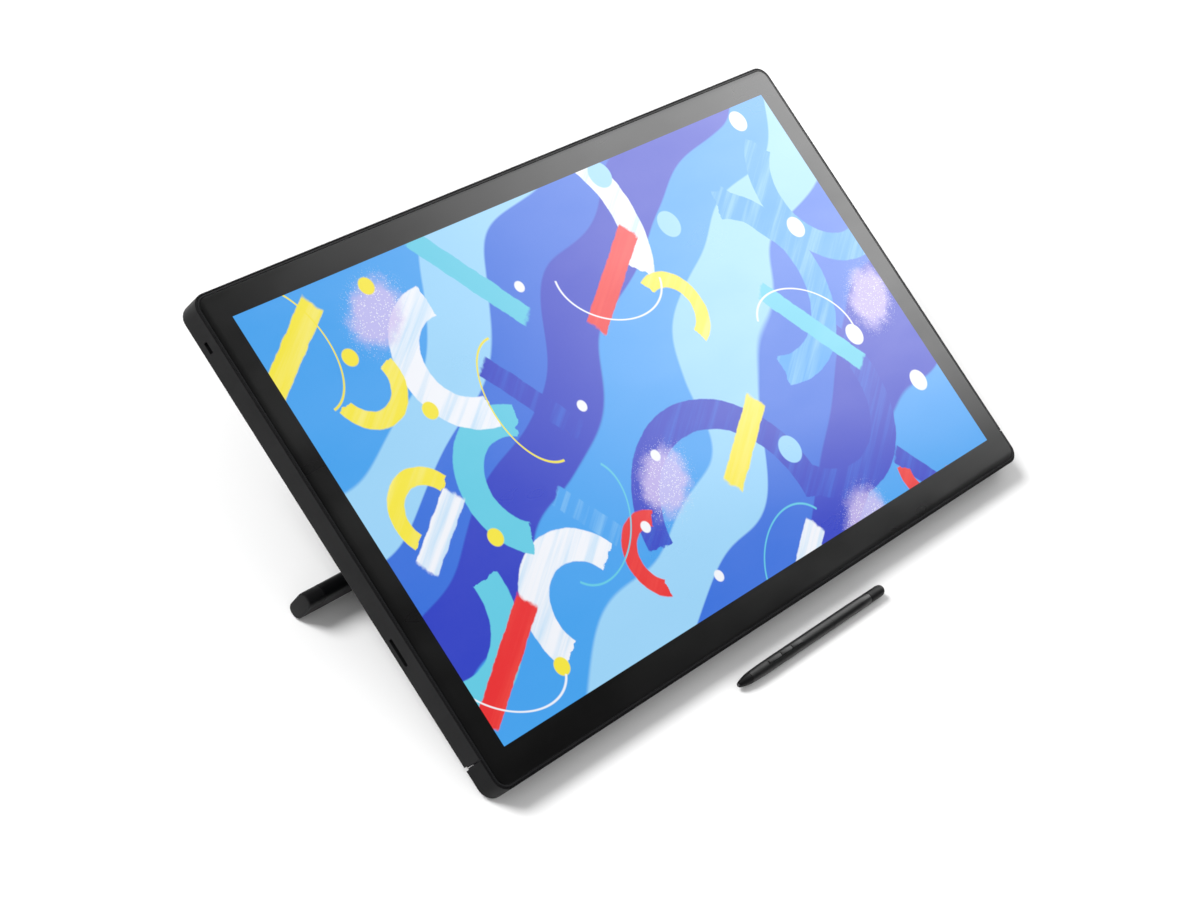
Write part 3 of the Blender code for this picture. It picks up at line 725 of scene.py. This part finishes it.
def make_looks():
    return {
        "glass": screen_glass(),
        "lip": plastic("lip_grey", (0.010, 0.010, 0.011), 0.40, 1800.0, gloss=0.2),
        "body": plastic("body_black", (0.0052, 0.0052, 0.0056), 0.46, 1500.0, gloss=0.14),
        # The lower trim's look is the body's black made darker and less glossy: painted shade on its
        # front edge, which faces away from the key light.
        "trim": plastic("trim_black_painted_shade", (0.0042, 0.0042, 0.0046), 0.44, 1500.0, gloss=0.10),
        "cap": plastic("cap_grey", (0.0065, 0.0065, 0.0070), 0.44, 1200.0, gloss=0.15),
        "bar": plastic("bar_black", (0.0030, 0.0030, 0.0034), 0.36, 2200.0, 0.00002, 0.15),
        "pen": plastic("pen_black", (0.0070, 0.0070, 0.0075), 0.42, 2600.0, 0.00002, gloss=0.3),
        "grip": plastic("grip_black", (0.0045, 0.0045, 0.0050), 0.50, 2600.0, 0.00002),
        "key": plastic("key_black", (0.0075, 0.0075, 0.0080), 0.36, 2600.0, 0.00002, gloss=0.3),
        "nib": plastic("nib_polymer", (0.06, 0.06, 0.062), 0.45, 3000.0, 0.00001),
        "rubber": rubber("foot_rubber", (0.014, 0.014, 0.014)),
        "aluminium": metal("sheet_aluminium", (0.62, 0.62, 0.63), 0.38),
        "steel": metal("plain_steel", (0.50, 0.50, 0.51), 0.32),
        "brass": metal("turned_brass", (0.60, 0.42, 0.16), 0.33, (300.0, 300.0, 12.0)),
        "board": board("board_green", (0.012, 0.09, 0.045)),
        "panel": clear("panel_cell", (0.030, 0.030, 0.045)),
        "clear": clear("clear_acrylic", (0.70, 0.72, 0.73)),
        "moulding": plastic("dark_moulding", (0.040, 0.040, 0.043), 0.5, 900.0),
        "button": plastic("button_black", (0.016, 0.016, 0.017), 0.40, 1800.0),
    }


SLOT_LOOKS = {
    "black_glass": "glass", "grey_lip": "lip", "black_body": "body", "grey_cap": "cap",
    "dark_bar": "bar", "rubber": "rubber", "aluminium": "aluminium", "steel": "steel",
    "brass": "brass", "green_board": "board", "panel": "panel", "clear_sheet": "clear",
    "dark_plastic": "moulding", "pen_plastic": "pen", "pen_grip": "grip", "nib_grey": "nib",
    "button_black": "button",
}


def dress_nodes(looks):
    """Give every CAD node its material by its slot."""
    for entry in frame["record"]["subparts"]:
        obj = frame["nodes"][entry["node"]]
        look = looks[SLOT_LOOKS[entry["material_slot"]]]
        for index in range(max(1, len(obj.material_slots))):
            if index < len(obj.material_slots):
                obj.material_slots[index].material = look
            else:
                obj.data.materials.append(look)


def floor():
    bm = bmesh.new()
    bmesh.ops.create_grid(bm, x_segments=1, y_segments=1, size=4000.0)
    n = Nodes("floor_white", 0.7)
    n.set("Base Color", n.mix(n.noise(3.0), (0.90, 0.90, 0.90, 1.0), (0.93, 0.93, 0.93, 1.0)))
    obj = finish_piece("floor", bm, Matrix.Translation((0.0, 0.0, -0.0002)), n.material)


def panel(name, place, aim, size, power):
    """A soft panel that only shows as a reflection."""
    light = bpy.data.lights.new(name, "AREA")
    light.shape = "RECTANGLE"
    light.size, light.size_y = size
    light.energy = power
    obj = bpy.data.objects.new(name, light)
    obj.location = place
    direction = Vector(aim) - Vector(place)
    obj.rotation_euler = direction.to_track_quat("-Z", "Y").to_euler()
    obj.visible_diffuse = False
    bpy.context.scene.collection.objects.link(obj)


def sun(name, towards, strength, spread):
    light = bpy.data.lights.new(name, "SUN")
    light.energy = strength
    light.angle = math.radians(spread)
    obj = bpy.data.objects.new(name, light)
    obj.rotation_euler = Vector(towards).to_track_quat("-Z", "Y").to_euler()
    obj.visible_glossy = False
    bpy.context.scene.collection.objects.link(obj)


def lights():
    sun("key", (0.62, -0.66, -0.80), 3.4, 26.0)
    sun("left_fill", (0.90, 0.35, -0.60), 0.6, 60.0)
    panel("right_panel", (2.3, 0.84, 1.12), (0.3, 0.1, 0.05), (2.5, 2.1), 72.0)
    panel("left_strip", (-1.6, 1.0, 0.8), (-0.25, 0.2, 0.1), (0.5, 0.9), 4.0)
    panel("top_strip", (-0.4, 1.9, 2.4), (0.0, 0.0, 0.0), (2.5, 0.5), 16.0)


def background():
    """A white surround that gives a soft sky light and stays dim in reflections."""
    world = bpy.data.worlds.new("soft_white")
    world.use_nodes = True
    tree = world.node_tree
    shader = tree.nodes["Background"]
    shader.inputs["Color"].default_value = (1.0, 1.0, 1.0, 1.0)
    path = tree.nodes.new("ShaderNodeLightPath")
    strength = 0.05
    for ray, amount in (("Is Camera Ray", 1.0), ("Is Diffuse Ray", 0.45)):
        add = tree.nodes.new("ShaderNodeMath")
        add.operation = "MULTIPLY_ADD"
        tree.links.new(path.outputs[ray], add.inputs[0])
        add.inputs[1].default_value = amount
        if isinstance(strength, float):
            add.inputs[2].default_value = strength
        else:
            tree.links.new(strength, add.inputs[2])
        strength = add.outputs[0]
    tree.links.new(strength, shader.inputs["Strength"])
    bpy.context.scene.world = world


def camera():
    data = bpy.data.cameras.new("camera")
    data.lens = CAMERA_LENS
    data.sensor_width = 36.0
    data.sensor_fit = "HORIZONTAL"
    data.clip_start = 0.05
    obj = bpy.data.objects.new("camera", data)
    right = Vector((0.627432, -0.698260, 0.344618))
    up = Vector((0.337521, 0.642714, 0.687748))
    back = Vector((-0.701718, -0.315199, 0.638937))
    turn = Matrix((right, up, back)).transposed().to_4x4()
    obj.matrix_world = Matrix.Translation(CAMERA_PLACE) @ turn
    bpy.context.scene.collection.objects.link(obj)
    bpy.context.scene.camera = obj


def main():
    looks = make_looks()
    dress_nodes(looks)
    front(looks)
    covers(looks)
    bay(looks)
    stand(looks)
    pen(looks)
    floor()
    lights()
    background()
    camera()
    bpy.context.scene.view_settings.view_transform = "Standard"
    bpy.context.view_layer.update()


main()
